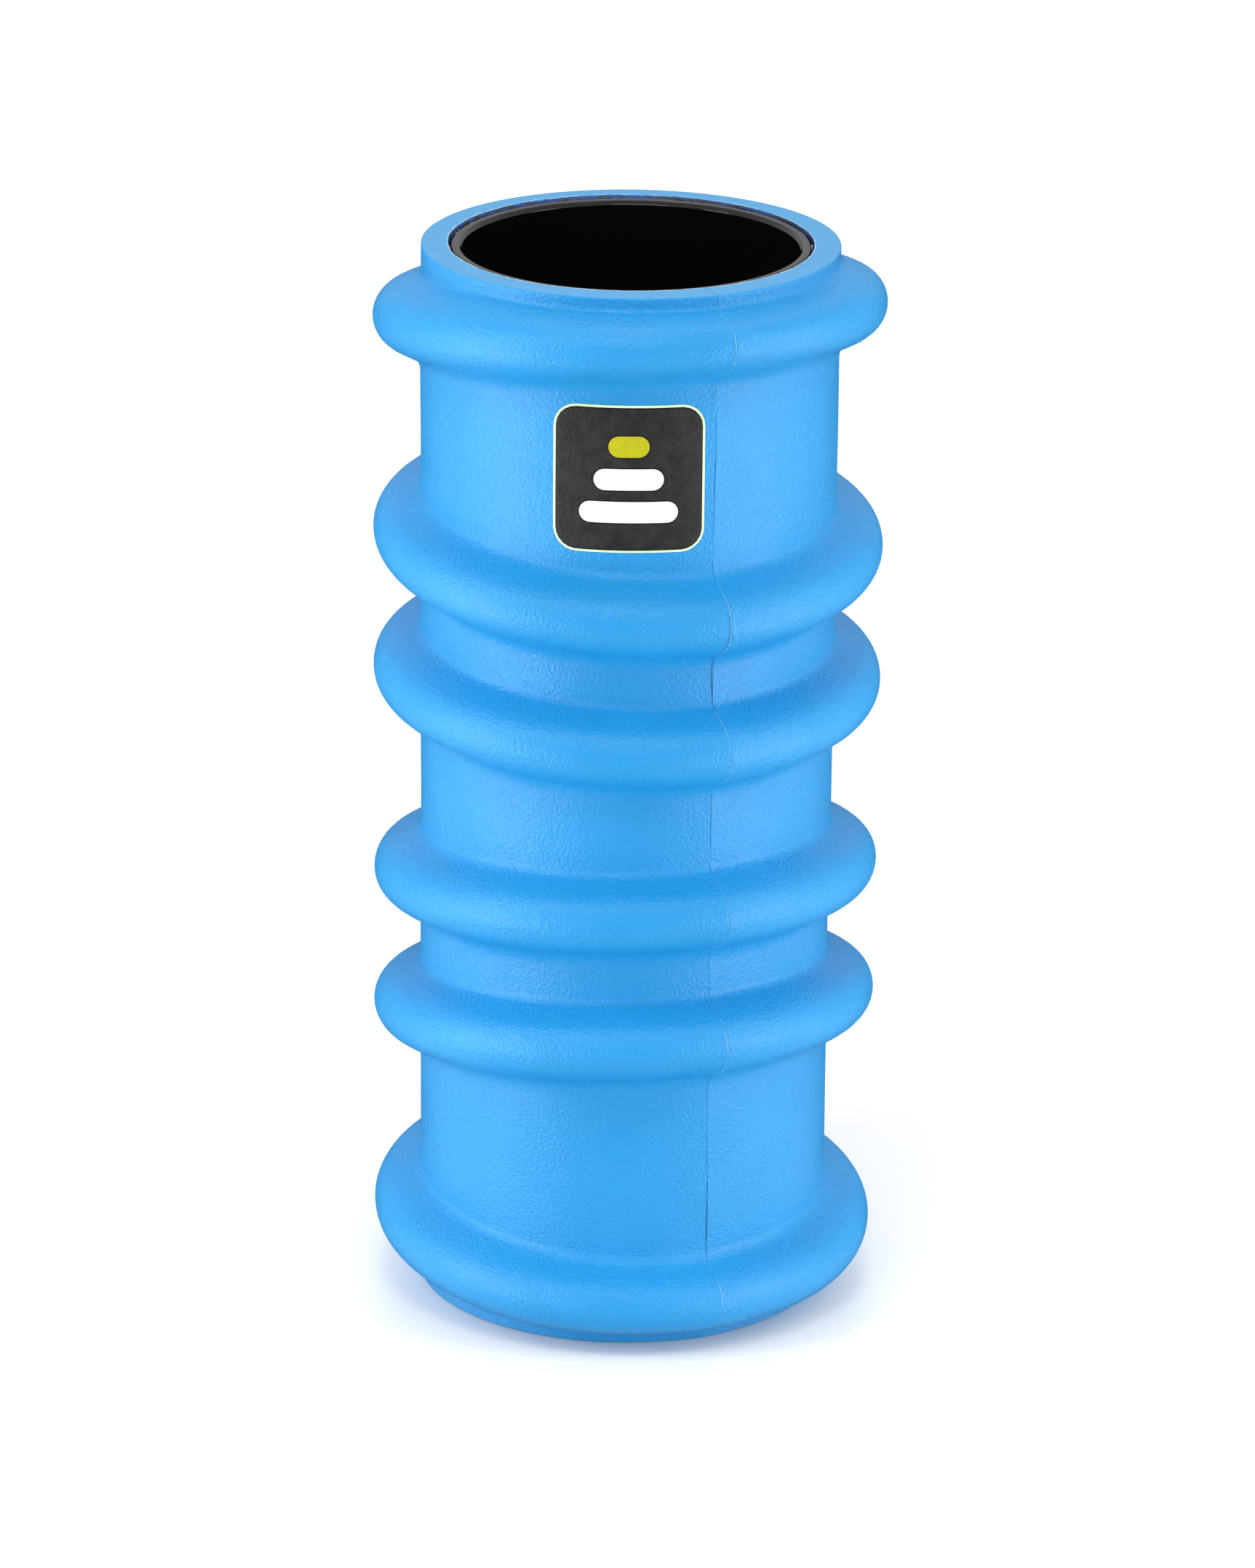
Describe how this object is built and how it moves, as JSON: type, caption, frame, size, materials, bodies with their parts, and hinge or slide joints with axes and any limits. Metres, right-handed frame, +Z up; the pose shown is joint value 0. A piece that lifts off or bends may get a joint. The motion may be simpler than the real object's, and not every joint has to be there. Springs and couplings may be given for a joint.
{
  "type": "foam roller",
  "caption": "Hollow-core massage roller: a ribbed blue foam sleeve bonded to a rigid black pipe, with wavy raised ribs, a glued butt joint and a small square badge.",
  "frame": {"origin": "centre of the lower end face, on the roller's axis", "axes": "+Z up along the roller's axis, -Y towards the badge, +X to the badge's right seen from the front"},
  "size_m": [0.154, 0.1536, 0.33],
  "materials": {
    "blue_foam": "satin, fine leather-like grain",
    "black_pipe": "glossy",
    "cement": "dried contact cement, matte",
    "joint_glue": "clear glue over blue foam, glossy",
    "lime_film": "satin",
    "dark_film": "satin, grained",
    "white_film": "smooth satin",
    "lime_print": "smooth satin"
  },
  "bodies": {
    "root": {"foam_sleeve": "blue_foam", "core_tube": "black_pipe", "core_cement": "cement", "joint_glue": "joint_glue", "badge_border": "lime_film", "badge_field": "dark_film", "badge_white_bars": "white_film", "badge_lime_bar": "lime_print"}
  },
  "joints": []
}
